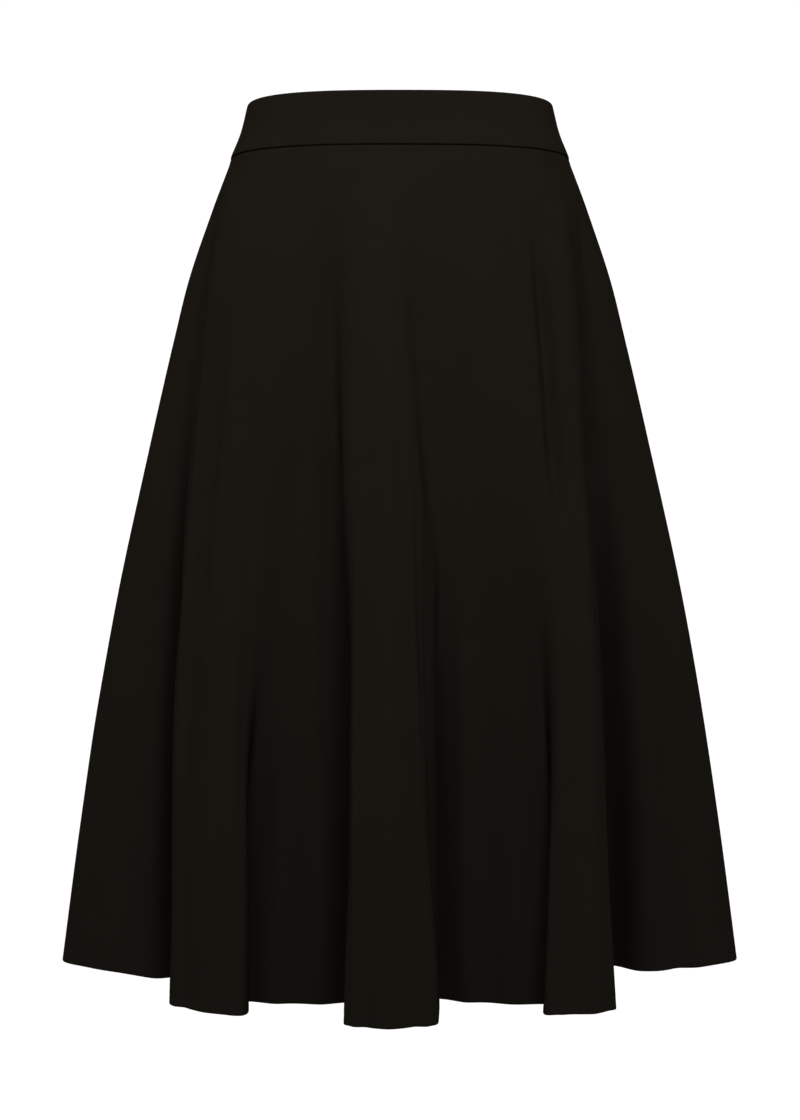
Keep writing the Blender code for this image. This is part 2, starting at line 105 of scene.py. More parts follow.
# Soft ridges (height above 0) and troughs on the folds. A place is a share across the fold's row, and
# past 1 on the steep stretch after it. Each fades in below "top" and out above "low".
Crease = namedtuple("Crease", "fold top_share low_share top low height half_width")
CREASES = [
    Crease("side_right",        1.20, 1.30, 0.24, 0.90,  0.0014, 0.0160),
    Crease("side_right",        1.55, 1.60, 0.20, 0.62, -0.0008, 0.0090),
    Crease("side_right",        0.70, 0.80, 0.30, 0.90,  0.0010, 0.0090),
    Crease("side_right",        1.84, 1.87, 0.11, 0.90, -0.0070, 0.0045),
    Crease("side_right",        1.86, 1.88, 0.20, 0.90, -0.0110, 0.0085),
    Crease("deep_front_right",  0.50, 0.90, 0.10, 0.90,  0.0070, 0.0110),
    Crease("deep_front_right",  1.80, 1.80, 0.38, 0.66,  0.0030, 0.0120),
    Crease("deep_front_right",  1.90, 1.90, 0.58, 0.96,  0.0040, 0.0080),
    Crease("flute_front_right", 0.30, 0.40, 0.042, 0.095, -0.0020, 0.0200),
    Crease("flute_front_right", 0.13, 0.06, 0.13, 0.90,  0.0018, 0.0035),
    Crease("flute_front_right", 0.24, 0.18, 0.16, 0.90, -0.0012, 0.0040),
    Crease("flute_front_right", 0.74, 0.50, 0.08, 0.62,  0.0046, 0.0090),
    Crease("flute_front_right", 0.46, 0.52, 0.34, 0.90,  0.0016, 0.0090),
    Crease("flute_front_right", 0.78, 0.82, 0.30, 0.90, -0.0009, 0.0060),
    Crease("flute_front_right", 0.94, 1.20, 0.18, 0.62, -0.0052, 0.0095),
    Crease("flute_front_right", 1.34, 1.34, 0.44, 0.96,  0.0016, 0.0080),
    Crease("flute_front_right", 0.97, 1.00, 0.40, 0.96, -0.0030, 0.0058),
    Crease("flute_front_right", 1.46, 1.95, 0.15, 0.42,  0.0012, 0.0140),
    Crease("floor_front_right", 0.00, 0.04, 0.42, 0.94, -0.0205, 0.0090),
    Crease("floor_front_right", 0.35, 0.40, 0.30, 0.90, -0.0014, 0.0110),
    Crease("floor_front_right", 0.78, 0.80, 0.40, 0.66,  0.0014, 0.0110),
    Crease("floor_front_right", 0.55, 0.50, 0.12, 0.36, -0.0010, 0.0120),
    Crease("floor_front_right", 0.86, 0.98, 0.075, 0.38, -0.0058, 0.0090),
    Crease("floor_front_right", 0.98, 0.94, 0.20, 0.90, -0.0185, 0.0090),
    Crease("floor_front_right", 1.55, 1.45, 0.26, 0.90, -0.0100, 0.0190),
    Crease("floor_front_right", 1.90, 1.90, 0.56, 0.96,  0.0032, 0.0080),
    Crease("flute_front",       0.02, 0.02, 0.44, 0.96, -0.0022, 0.0050),
    Crease("flute_front",       0.12, 0.14, 0.09, 0.24,  0.0010, 0.0060),
    Crease("flute_front",       0.14, 0.08, 0.22, 0.90,  0.0018, 0.0045),
    Crease("flute_front",       0.23, 0.19, 0.22, 0.90, -0.0014, 0.0040),
    Crease("flute_front",       0.60, 0.42, 0.06, 0.90,  0.0040, 0.0110),
    Crease("flute_front",       0.72, 0.76, 0.12, 0.90, -0.0018, 0.0045),
    Crease("flute_front",       0.81, 0.88, 0.16, 0.90,  0.0018, 0.0035),
    Crease("flute_front",       0.97, 0.97, 0.26, 0.54, -0.0016, 0.0028),
    Crease("flute_front",       0.90, 1.94, 0.075, 0.38, -0.0062, 0.0105),
    Crease("flute_front",       1.15, 1.15, 0.30, 0.66, -0.0045, 0.0120),
    Crease("flute_front",       1.50, 1.90, 0.16, 0.50,  0.0010, 0.0070),
    Crease("floor_front_left",  0.04, 0.10, 0.34, 0.90, -0.0190, 0.0085),
    Crease("floor_front_left",  0.20, 0.30, 0.30, 0.90,  0.0020, 0.0120),
    Crease("floor_front_left",  0.62, 0.42, 0.22, 0.56, -0.0016, 0.0110),
    Crease("floor_front_left",  0.75, 0.80, 0.40, 0.90,  0.0010, 0.0090),
    Crease("floor_front_left",  0.45, 0.40, 0.09, 0.28,  0.0008, 0.0160),
    Crease("floor_front_left",  1.80, 0.95, 0.34, 0.94, -0.0210, 0.0110),
    Crease("floor_front_left",  1.82, 1.76, 0.40, 0.96,  0.0055, 0.0080),
    Crease("flute_front_left",  0.04, 0.02, 0.40, 0.96, -0.0034, 0.0062),
    Crease("flute_front_left",  0.24, 0.24, 0.070, 0.36, -0.0085, 0.0070),
    Crease("flute_front_left",  0.72, 0.52, 0.07, 0.90,  0.0042, 0.0090),
    Crease("flute_front_left",  1.10, 0.90, 0.042, 0.098, -0.0030, 0.0170),
    Crease("flute_front_left",  0.26, 0.22, 0.36, 0.90, -0.0010, 0.0050),
    Crease("flute_front_left",  0.12, 0.10, 0.30, 0.90,  0.0010, 0.0040),
    Crease("flute_front_left",  0.86, 0.90, 0.34, 0.90, -0.0008, 0.0050),
    Crease("flute_front_left",  1.12, 1.12, 0.16, 0.76, -0.0075, 0.0180),
    Crease("deep_front_left",   1.10, 0.10, 0.075, 0.34, -0.0055, 0.0045),
    Crease("deep_front_left",   0.60, 0.95, 0.22, 0.90, -0.0150, 0.0100),
    Crease("deep_front_left",   0.50, 0.95, 0.28, 0.90, -0.0060, 0.0050),
    Crease("panel_front_left",  0.84, 0.72, 0.28, 0.90, -0.0060, 0.0115),
    Crease("panel_front_left",  0.30, 0.30, 0.36, 0.90,  0.0014, 0.0110),
    Crease("side_left",         0.30, 0.25, 0.26, 0.90,  0.0014, 0.0110),
    Crease("side_left",         1.25, 1.30, 0.22, 0.90,  0.0012, 0.0150),
    Crease("side_left",         0.75, 0.70, 0.40, 0.90, -0.0010, 0.0070),
    Crease("deep_back_left",    0.60, 0.80, 0.20, 0.90, -0.0120, 0.0100),
    Crease("flute_back_left",   0.10, 0.09, 0.15, 0.90,  0.0013, 0.0036),
    Crease("flute_back_left",   0.20, 0.22, 0.20, 0.90, -0.0011, 0.0045),
    Crease("flute_back_left",   0.58, 0.50, 0.09, 0.90,  0.0018, 0.0110),
    Crease("flute_back_left",   0.80, 0.84, 0.26, 0.90, -0.0012, 0.0050),
    Crease("flute_back_left",   1.60, 1.60, 0.28, 0.90, -0.0060, 0.0150),
    Crease("floor_back_left",   0.04, 0.08, 0.30, 0.90, -0.0120, 0.0095),
    Crease("floor_back_left",   0.96, 0.94, 0.20, 0.90, -0.0150, 0.0085),
    Crease("floor_back_left",   0.30, 0.42, 0.24, 0.58, -0.0014, 0.0120),
    Crease("floor_back_left",   0.70, 0.66, 0.34, 0.90,  0.0016, 0.0110),
    Crease("flute_back",        0.14, 0.10, 0.20, 0.90,  0.0015, 0.0042),
    Crease("flute_back",        0.25, 0.22, 0.24, 0.90, -0.0013, 0.0044),
    Crease("flute_back",        0.76, 0.70, 0.26, 0.90,  0.0012, 0.0100),
    Crease("flute_back",        0.88, 0.90, 0.30, 0.90, -0.0012, 0.0040),
    Crease("flute_back",        0.90, 1.10, 0.08, 0.40, -0.0036, 0.0100),
    Crease("floor_back_right",  0.04, 0.06, 0.24, 0.90, -0.0140, 0.0085),
    Crease("floor_back_right",  0.25, 0.30, 0.28, 0.90,  0.0018, 0.0120),
    Crease("floor_back_right",  0.62, 0.52, 0.22, 0.60, -0.0015, 0.0110),
    Crease("floor_back_right",  0.97, 0.94, 0.32, 0.90, -0.0130, 0.0095),
    Crease("flute_back_right",  0.16, 0.12, 0.14, 0.90, -0.0010, 0.0050),
    Crease("flute_back_right",  0.48, 0.52, 0.08, 0.90,  0.0017, 0.0110),
    Crease("flute_back_right",  0.84, 0.88, 0.22, 0.90,  0.0012, 0.0036),
    Crease("flute_back_right",  0.74, 0.77, 0.26, 0.90, -0.0011, 0.0042),
    Crease("deep_back_right",   0.50, 0.60, 0.18, 0.90, -0.0130, 0.0095),
    Crease("deep_back_right",   1.60, 1.66, 0.30, 0.90, -0.0012, 0.0090),
]

# Small unevenness that no one would draw: faint swellings, and puckers under the waist seam.
Swelling = namedtuple("Swelling", "count drop reach height half_width")
FAINT = Swelling(count=(0, COURSE_LENGTH), drop=(0.06, 0.66), reach=(0.03, 0.09),
                 height=(-0.00035, 0.00035), half_width=(0.006, 0.018))
PUCKER = Swelling(count=(0, COURSE_LENGTH), drop=(0.036, 0.042), reach=(0.010, 0.028),
                  height=(-0.00030, 0.00040), half_width=(0.0035, 0.0080))
HOW_MANY_FAINT = 150
HOW_MANY_PUCKERS = 46
chance = np.random.default_rng(11)
SWELLINGS = Swelling(*(np.concatenate([chance.uniform(*faint, HOW_MANY_FAINT),
                                       chance.uniform(*pucker, HOW_MANY_PUCKERS)])[:, None]
                       for faint, pucker in zip(FAINT, PUCKER)))


def middle_of(name):
    return 2 * FOLD_NAMES.index(name) + 0.5


RIGHT_SIDE = middle_of("side_right")
LEFT_SIDE = middle_of("side_left")
CENTRE_BACK = middle_of("flute_back")
FULL_TURN = RIGHT_SIDE + COURSE_LENGTH

CREASE_FADE_IN = 0.35           # shares of a crease's height over which it fades in and out
CREASE_FADE_OUT = 0.30
ZIP_CALM = 0.017                # the zip's tapes keep the cloth beside them smooth
ZIP_CALM_DROP = 0.27
ZIP_CALM_FADE = 0.05


def section_value(column, drop):
    drops = np.array([section.drop for section in SECTIONS])
    values = np.array([getattr(section, column) for section in SECTIONS])
    slopes = np.gradient(values, drops)
    row = np.clip(np.searchsorted(drops, drop) - 1, 0, len(drops) - 2)
    step = drops[row + 1] - drops[row]
    t = np.clip((drop - drops[row]) / step, 0.0, 1.0)
    bend = step * (slopes[row] * t * (1 - t) ** 2 - slopes[row + 1] * t ** 2 * (1 - t))
    return values[row] + (values[row + 1] - values[row]) * t ** 2 * (3 - 2 * t) + bend


def outline_radius(bearing, drop):
    angle = np.radians(bearing)
    square = section_value("square", drop)
    across = np.abs(np.sin(angle) / section_value("half_width", drop)) ** square
    forward = np.abs(np.cos(angle) / section_value("half_depth", drop)) ** square
    return (across + forward) ** (-1.0 / square)


def band_height(bearing):
    """Drop of the waist seam."""
    dip = BAND_HEIGHT_CENTRE - BAND_HEIGHT_SIDE
    return BAND_HEIGHT_SIDE + dip * np.cos(np.radians(bearing)) ** 2


def hem_line(fold):
    outwards = np.exp(1j * math.radians(fold.bearing - 90))
    onwards = 1j * outwards * np.exp(-1j * math.radians(fold.turn))
    return fold.reach * outwards, fold.half * onwards, fold.crown * -1j * onwards


Course = namedtuple("Course", "count seam hem inside power")


def fold_course():
    """Once round the skirt: where each bit of cloth hangs from, and where its hem swings to."""
    samples = []
    for row, fold in enumerate(FOLDS):
        after = FOLDS[(row + 1) % len(FOLDS)]
        after_seam = after.seam_from + (360 if after is FOLDS[0] else 0)
        middle, half, crown = hem_line(fold)
        after_middle, after_half, _ = hem_line(after)
        steep = (after_middle - after_half) - (middle + half)
        for t in np.arange(SAMPLES_PER_STRETCH) / SAMPLES_PER_STRETCH:
            seam = fold.seam_from + (fold.seam_to - fold.seam_from) * t
            hem = middle + half * (2 * t - 1) + crown * 4 * t * (1 - t)
            samples.append((2 * row + t, seam, hem, fold.power))
        for t in np.arange(SAMPLES_PER_STRETCH) / SAMPLES_PER_STRETCH:
            seam = fold.seam_to + (after_seam - fold.seam_to) * t
            hem = middle + half + steep * t
            samples.append((2 * row + 1 + t, seam, hem, fold.power + (after.power - fold.power) * t))
    count, seam, hem, power = (np.array(column) for column in zip(*samples))
    hem_bearing = np.degrees(np.unwrap(np.angle(hem))) + 90
    hem_bearing -= 360 * np.round((hem_bearing[0] - seam[0]) / 360)
    return Course(count, seam, hem_bearing, outline_radius(hem_bearing, LENGTH) - np.abs(hem), power)


COURSE = fold_course()
SEAM_DROP = band_height(COURSE.seam)


def course_drop(level):
    """Drop all the way round at a level: 0 at the waist seam, 1 at the hem."""
    return SEAM_DROP + level * (LENGTH - SEAM_DROP)


def level_drop(drop):
    return np.full_like(COURSE.count, drop)


class Ring:
    """The outside of the cloth, once round, as plan positions x + yj with a drop at each."""

    def __init__(self, drop):
        plan = self.folded(drop)
        closed = np.append(plan, plan[0])
        self.course_length = np.concatenate([[0], np.cumsum(np.abs(np.diff(closed)))])
        self.course_drop = np.append(drop, drop[0])
        self.total = self.course_length[-1]
        self.even = np.arange(RING_SAMPLES) * self.total / RING_SAMPLES
        spaced = (np.interp(self.even, self.course_length, closed.real)
                  + 1j * np.interp(self.even, self.course_length, closed.imag))
        bend = ROUNDING_SEAM + (ROUNDING_HEM - ROUNDING_SEAM) * np.mean(drop) / LENGTH
        outwards = self.facing(self.softened(spaced, RELIEF_SMOOTH))
        creased = self.softened(spaced, bend) + outwards * relief(self, self.even)
        self.plan = self.softened(creased, CREASE_ROUNDING)
        self.normal = self.facing(self.plan)

    @staticmethod
    def folded(drop):
        seam_width = section_value("half_width", BAND_HEIGHT_SIDE)
        hem_width = SECTIONS[-1].half_width
        spread = (section_value("half_width", drop) - seam_width) / (hem_width - seam_width)
        bearing = COURSE.seam + (COURSE.hem - COURSE.seam) * np.clip(spread, 0, 1)
        fall = np.clip((drop - FOLD_START) / (LENGTH - FOLD_START), 0, 1)
        radius = outline_radius(bearing, drop) - COURSE.inside * fall ** COURSE.power
        return radius * np.exp(1j * np.radians(bearing - 90))

    def softened(self, plan, rounding):
        pitch = 2 * math.pi * np.fft.fftfreq(RING_SAMPLES, self.total / RING_SAMPLES)
        return np.fft.ifft(np.fft.fft(plan) * np.exp(-0.5 * (pitch * rounding) ** 2))

    @staticmethod
    def facing(plan):
        """Outward directions of a plan."""
        tangent = np.roll(plan, -1) - np.roll(plan, 1)
        return -1j * tangent / np.abs(tangent)

    def distance(self, count):
        """Length along the ring at a count of the course."""
        return np.interp(np.mod(count, COURSE_LENGTH), np.append(COURSE.count, COURSE_LENGTH),
                         self.course_length)

    def drop(self, distance):
        return np.interp(np.mod(distance, self.total), self.course_length, self.course_drop)

    def below_seam(self, distance):
        seam = np.interp(np.mod(distance, self.total), self.course_length,
                         np.append(SEAM_DROP, SEAM_DROP[0]))
        return self.drop(distance) - seam

    def across(self, distance, count):
        """How far each distance lies from a place on the course, the shorter way round."""
        return np.mod(distance - self.distance(count) + self.total / 2, self.total) - self.total / 2

    def points(self, distance, out=0.0):
        wrapped = np.mod(distance, self.total)
        x, y, normal_x, normal_y = (
            np.interp(wrapped, self.even, part, period=self.total)
            for part in (self.plan.real, self.plan.imag, self.normal.real, self.normal.imag))
        return np.column_stack([x + out * normal_x, y + out * normal_y,
                                ORIGIN_DROP - self.drop(distance)])


@lru_cache(maxsize=None)
def ring_at(level, below):
    """The ring at a level of the panels, and a little below it."""
    return Ring(course_drop(level) + below)


def eased(t):
    t = np.clip(t, 0, 1)
    return t * t * (3 - 2 * t)


def relief(ring, distance):
    """Height of the creases, swellings and puckers at lengths along a ring."""
    drop = ring.drop(distance)
    below = ring.below_seam(distance)
    come_out = eased(1 - (below - UNDER_BAND_IN) / UNDER_BAND_OUT)
    height = -UNDER_BAND * eased(below / UNDER_BAND_IN) * come_out
    for crease in CREASES:
        way = (drop - crease.top) / (crease.low - crease.top)
        share = crease.top_share + (crease.low_share - crease.top_share) * np.clip(way, 0, 1)
        away = ring.across(distance, 2 * FOLD_NAMES.index(crease.fold) + share)
        strength = eased(way / CREASE_FADE_IN) * eased((1 - way) / CREASE_FADE_OUT)
        height += crease.height * strength * np.exp(-(away / crease.half_width) ** 2)
    near = np.abs(SWELLINGS.drop - drop.mean())[:, 0] < 3 * SWELLINGS.reach[:, 0]
    count, middle, reach, rise, half_width = (column[near] for column in SWELLINGS)
    away = ring.across(distance, count) / half_width
    height += np.sum(rise * np.exp(-away ** 2 - ((drop - middle) / reach) ** 2), axis=0)
    beside_zip = np.exp(-(ring.across(distance, CENTRE_BACK) / ZIP_CALM) ** 2)
    return height * (1 - beside_zip * eased((ZIP_CALM_DROP - drop) / ZIP_CALM_FADE))


SEAM_ROLL = 0.0009              # how far a sewn edge rolls in
SEAM_ROLL_WIDTH = 0.0013
EDGE_STEPS = np.array([0, 0.0004, 0.0009, 0.0015, 0.0023, 0.0034])


def across_piece(ring, first, last, gap_from, gap_to, columns):
    """Lengths along the ring of a piece's columns, and how much each dips beside the sewn edges."""
    start = ring.distance(first) + gap_from / 2
    end = ring.distance(last) + ring.total * (last > COURSE_LENGTH) - gap_to / 2
    step = 2 * EDGE_STEPS[-1] - EDGE_STEPS[-2]
    middle = np.linspace(start + step, end - step, columns - 2 * len(EDGE_STEPS))
    distance = np.concatenate([start + EDGE_STEPS, middle, end - EDGE_STEPS[::-1]])
    from_edge = np.minimum(distance - start, end - distance)
    return distance, -SEAM_ROLL * np.exp(-(from_edge / SEAM_ROLL_WIDTH) ** 2)


def shell(name, loop, cut, slot):
    """A closed body of cloth. loop holds [row][column] points, down the outside and up the inside."""
    rows, columns = loop.shape[:2]
    index = np.arange(rows * columns).reshape(rows, columns)
    below = np.roll(index, -1, axis=0)
    sides = np.stack([index[:, :-1], below[:, :-1], below[:, 1:], index[:, 1:]], axis=-1)
    faces = sides.reshape(-1, 4).tolist()
    for row in range(rows // 2 - 1):
        facing = rows - 1 - row
        faces.append([index[row, 0], index[facing, 0], index[facing - 1, 0], index[row + 1, 0]])
        faces.append([index[row, -1], index[row + 1, -1], index[facing - 1, -1], index[facing, -1]])
    mesh = bpy.data.meshes.new(name)
    mesh.from_pydata(loop.reshape(-1, 3).tolist(), [], [list(map(int, face)) for face in faces])
    layer = mesh.uv_layers.new(name="cut")
    corners = np.empty(len(mesh.loops), dtype=np.int32)
    mesh.loops.foreach_get("vertex_index", corners)
    layer.data.foreach_set("uv", cut.reshape(-1, 2)[corners].astype(np.float32).ravel())
    mesh.materials.append(slot)
    mesh.shade_smooth()
    mesh.set_sharp_from_angle(angle=math.radians(60))
    piece = bpy.data.objects.new(name, mesh)
    bpy.context.collection.objects.link(piece)
    return piece


class Socket:
    """A socket in a material. Arithmetic on it adds Math nodes."""

    def __init__(self, tree, socket):
        self.tree = tree
        self.socket = socket

    @classmethod
    def node(cls, tree, kind, settings=None, inputs=None, output=0):
        """Add a node of any kind: settings first, then the values or links of its inputs."""
        made = tree.nodes.new(kind)
        for name, value in (settings or {}).items():
            setattr(made, name, value)
        for name, value in (inputs or {}).items():
            if isinstance(value, cls):
                tree.links.new(value.socket, made.inputs[name])
            else:
                made.inputs[name].default_value = value
        return cls(tree, made.outputs[output])

    def maths(self, operation, *values):
        return Socket.node(self.tree, "ShaderNodeMath", {"operation": operation},
                           dict(enumerate(values)))

    def __add__(self, other):
        return self.maths("ADD", self, other)

    def __sub__(self, other):
        return self.maths("SUBTRACT", self, other)

    def __rsub__(self, other):
        return self.maths("SUBTRACT", other, self)

    def __mul__(self, other):
        return self.maths("MULTIPLY", self, other)

    def __truediv__(self, other):
        return self.maths("DIVIDE", self, other)

    def __rtruediv__(self, other):
        return self.maths("DIVIDE", other, self)

    def __pow__(self, other):
        return self.maths("POWER", self, other)

    def sine(self):
        return self.maths("SINE", self)

    def clamped(self):
        return self.maths("MINIMUM", self.maths("MAXIMUM", self, 0.0), 1.0)

    __radd__ = __add__
    __rmul__ = __mul__


def new_material(name, roughness, specular):
    made = bpy.data.materials.new(name)
    made.use_nodes = True
    shader = made.node_tree.nodes["Principled BSDF"]
    shader.inputs["Roughness"].default_value = roughness
    shader.inputs["Specular IOR Level"].default_value = specular
    return made, made.node_tree, shader


def feed(tree, shader, **sockets):
    for name, made in sockets.items():
        tree.links.new(made.socket, shader.inputs[name.replace("_", " ")])


def noise(tree, place, scale, detail=2.0):
    return Socket.node(tree, "ShaderNodeTexNoise", None,
                       {"Vector": place, "Scale": scale, "Detail": detail})


def first_two(tree, place):
    """The first two coordinates of a place."""
    first = Socket.node(tree, "ShaderNodeSeparateXYZ", None, {"Vector": place})
    return first, Socket(tree, first.socket.node.outputs[1])


def blend(tree, share, low, high):
    """A colour between two, by a share from 0 to 1."""
    return Socket.node(tree, "ShaderNodeMix", {"data_type": "RGBA"},
                       {0: share, 6: (*low, 1.0), 7: (*high, 1.0)}, output=2)


SUITING_DARK = (0.0077, 0.0064, 0.0047)
SUITING_LIGHT = (0.0100, 0.0084, 0.0064)
THREAD_PITCH = 0.00046


def suiting():
    """Closely woven matt cloth: fine plain weave along the cut's grain, faint cloudiness."""
    made, tree, shader = new_material("black_suiting", 0.88, 0.0)
    cut = Socket.node(tree, "ShaderNodeUVMap", {"uv_map": "cut"})
    across, along = first_two(tree, cut)
    place = Socket.node(tree, "ShaderNodeTexCoord", output=3)
    turns = 2 * math.pi / THREAD_PITCH
    weave = (across * turns).sine() * (along * turns).sine()
    slub = noise(tree, place, 1300.0, 1.0)
    cloud = noise(tree, place, 26.0, 3.0)
    height = weave * 0.35 + slub * 0.65
    bump = Socket.node(tree, "ShaderNodeBump", None,
                       {"Strength": 0.14, "Distance": 0.00012, "Height": height})
    shade = (cloud * 0.55 + slub * 0.20 + weave * 0.06 + 0.10).clamped()
    feed(tree, shader, Base_Color=blend(tree, shade, SUITING_DARK, SUITING_LIGHT),
         Roughness=0.84 + slub * 0.10, Normal=bump)
    return made


black_suiting = suiting()

CUT_RADIUS = 0.430              # the flat panels are sectors of one ring: its radius at the waist seam
CUT_SWEEP_FRONT = 0.916         # and the front's sweep, in radians, twice each back panel's
CLOTH_PER_DROP = 1.026
HEM_STITCHES_UP = 0.0065
HEM_GROOVE = 0.00018            # the hem's stitches draw the cloth in this much
HEM_GROOVE_WIDTH = 0.0006
SEAM_TUCK = 0.0011              # the waist seam draws the panels in this much
SEAM_TUCK_WIDTH = 0.0016

Row = namedtuple("Row", "level below outer inner")


def panel_rows():
    """Rows down a panel: level, drop below it, and how far the two faces stand out."""
    rows = [Row(0.0, below, -SEAM_TUCK * math.exp(-(below / SEAM_TUCK_WIDTH) ** 2), -CLOTH)
            for below in (SEAM_GAP / 2, 0.0005, 0.0010, 0.0016, 0.0024, 0.0036, 0.0055, 0.0085)]
    rows += [Row(level, 0.0, 0.0, -CLOTH) for level in np.linspace(0.021, 0.977, 78)]
    for up in (0.0110, 0.0092, 0.0083):
        rows.append(Row(1.0, -up, 0.0, -CLOTH))
    for up in (0.0078, 0.0071, HEM_STITCHES_UP, 0.0059, 0.0050, 0.0036, 0.0022):
        groove = -HEM_GROOVE * math.exp(-((up - HEM_STITCHES_UP) / HEM_GROOVE_WIDTH) ** 2)
        rows.append(Row(1.0, -up, groove, -HEM_CLOTH))
    return rows


def skirt_panel(name, node, first, last, columns, sweep):
    """A panel from the waist seam to its turned hem, with the cut's flat shape as its UV map."""
    rows = panel_rows()
    bend = HEM_CLOTH / 2
    loop = [(row.level, row.below, row.outer, 1.0) for row in rows]
    for angle in np.radians([0, 30, 60, 120, 150, 180]):
        loop.append((1.0, bend * (math.sin(angle) - 1), bend * (math.cos(angle) - 1),
                     math.cos(angle / 2)))
    loop += [(row.level, row.below, row.inner, 0.0) for row in reversed(rows)]
    points, cut = [], []
    for level, below, out, rolled in loop:
        ring = ring_at(level, below)
        distance, roll = across_piece(ring, first, last, 0.0, 0.0, columns)
        points.append(ring.points(distance, roll * rolled + out))
        angle = ((distance - distance[0]) / (distance[-1] - distance[0]) - 0.5) * sweep
        radius = CUT_RADIUS + CLOTH_PER_DROP * (ring.drop(distance) - BAND_HEIGHT_CENTRE)
        cut.append(np.column_stack([radius * np.sin(angle), -radius * np.cos(angle)]))
    panel = shell(name, np.array(points), np.array(cut), black_suiting)
    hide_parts(node)
    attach(panel, "skirt")


skirt_panel("front_panel", "skirt_front", RIGHT_SIDE, LEFT_SIDE, 400, CUT_SWEEP_FRONT)
skirt_panel("back_panel_left", "skirt_back_left", LEFT_SIDE, CENTRE_BACK, 210,
            CUT_SWEEP_FRONT / 2)
skirt_panel("back_panel_right", "skirt_back_right", CENTRE_BACK, FULL_TURN, 210,
            CUT_SWEEP_FRONT / 2)

# =========================================================================================== waistband
# A plain shaped waistband, about 44 mm deep, of the same cloth used double. It is folded along the top,
# sewn to the panels all round, and open at centre back for the zip. Its lower edge stands just proud.
BAND_CLOTH = 0.0030
BAND_PROUD = 0.0006
BAND_LOWER_BEND = 0.0012
BAND_LIP = 0.0030               # the inner layer runs down this far below the seam
LIP_CLOTH = 0.0006
ZIP_GAP = 0.0015                # between the band's two back ends

BandRow = namedtuple("BandRow", "share down out rolled")


def band_rows():
    """Rows round the doubled band, from its top fold down the outside and up the inside."""
    bend, middle = BAND_CLOTH / 2, BAND_PROUD - BAND_CLOTH / 2
    outside = [BandRow(0.0, bend * (1 - math.sin(angle)), bend * math.cos(angle), 1.0)
               for angle in np.radians([84, 66, 48, 30, 14, 0])]
    outside += [BandRow(share, bend * (1 - share), bend, 1.0) for share in np.linspace(0.06, 0.94, 20)]
    inside = [row._replace(out=-row.out, rolled=0.0) for row in reversed(outside)]
    foot = [BandRow(1.0, BAND_LOWER_BEND * (math.sin(angle) - 1),
                    bend - BAND_LOWER_BEND * (1 - math.cos(angle)), 1.0)
            for angle in np.radians([0, 20, 40, 60, 80])]
    foot += [BandRow(1.0, down, LIP_CLOTH - bend, 0.0) for down in (0.0003, BAND_LIP)]
    foot += [row._replace(out=-bend, rolled=0.0) for row in reversed(foot)]
    return [row._replace(out=row.out + middle) for row in outside + foot + inside]


def waistband_piece(name, node, first, last, gap_from, gap_to, columns):
    points, cut = [], []
    foot = SEAM_DROP - SEAM_GAP / 2
    for row in band_rows():
        ring = Ring(foot * row.share + row.down)
        distance, roll = across_piece(ring, first, last, gap_from, gap_to, columns)
        points.append(ring.points(distance, roll * row.rolled + row.out))
        cut.append(np.column_stack([distance - distance[0], -ring.drop(distance)]))
    piece = shell(name, np.array(points), np.array(cut), black_suiting)
    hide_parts(node)
    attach(piece, "skirt")
    longest = max(strip[-1, 0] for strip in cut)
    shortest = min(strip[-1, 0] for strip in cut)
    (longest + shortest) / 2 * (BAND_HEIGHT_CENTRE + BAND_HEIGHT_SIDE) / 2


waistband_piece("front_band", "waistband_front", RIGHT_SIDE, LEFT_SIDE, 0.0, 0.0, 260)
waistband_piece("back_band_left", "waistband_back_left", LEFT_SIDE, CENTRE_BACK, 0.0, ZIP_GAP, 150)
waistband_piece("back_band_right", "waistband_back_right", CENTRE_BACK, FULL_TURN, ZIP_GAP, 0.0, 150)

# ================================================================================================= zip
# A concealed zip in the centre back seam: two woven tapes sewn behind the panel edges, a nylon coil
# between them that faces inwards, and a small lacquered slider whose tab hangs outside the band.
ZIP_END_LEVEL = 0.29
TAPE_START = 0.0009
TAPE_WIDTH = 0.0110
TAPE_CLOTH = 0.0006
TAPE_RIB = 0.0008
TAPE_TOP_DROP = 0.0010
STEP_BEHIND_BAND = 0.012        # level over which the zip steps back from the band to the panels


def zip_rows(first_drop):
    """Drops down the zip and how deep the cloth over it is."""
    foot = SEAM_DROP - SEAM_GAP / 2
    behind_band = BAND_CLOTH - BAND_PROUD + SEAM_GAP
    behind_panel = CLOTH + SEAM_GAP
    rows = [(foot * share + first_drop * (1 - share), behind_band) for share in np.linspace(0, 1, 16)]
    for level in np.linspace(0.008, ZIP_END_LEVEL, 60):
        step = (behind_band - behind_panel) * math.exp(-(level / STEP_BEHIND_BAND) ** 2)
        rows.append((course_drop(level), behind_panel + step))
    return rows


def tape_cloth():
    """Black polyester tape, finely ribbed along its length."""
    made, tree, shader = new_material("black_tape", 0.90, 0.03)
    cut = Socket.node(tree, "ShaderNodeUVMap", {"uv_map": "cut"})
    across, along = first_two(tree, cut)
    ribs = (across * (2 * math.pi / TAPE_RIB)).sine()
    picks = (along * (2 * math.pi / (TAPE_RIB / 2))).sine()
    height = ribs * 0.7 + picks * 0.3
    bump = Socket.node(tree, "ShaderNodeBump", None,
                       {"Strength": 0.5, "Distance": 0.00015, "Height": height})
    shade = (height * 0.3 + 0.5).clamped()
    feed(tree, shader, Base_Color=blend(tree, shade, (0.0060, 0.0058, 0.0054), (0.0100, 0.0096, 0.0090)),
         Normal=bump)
    return made


black_tape = tape_cloth()


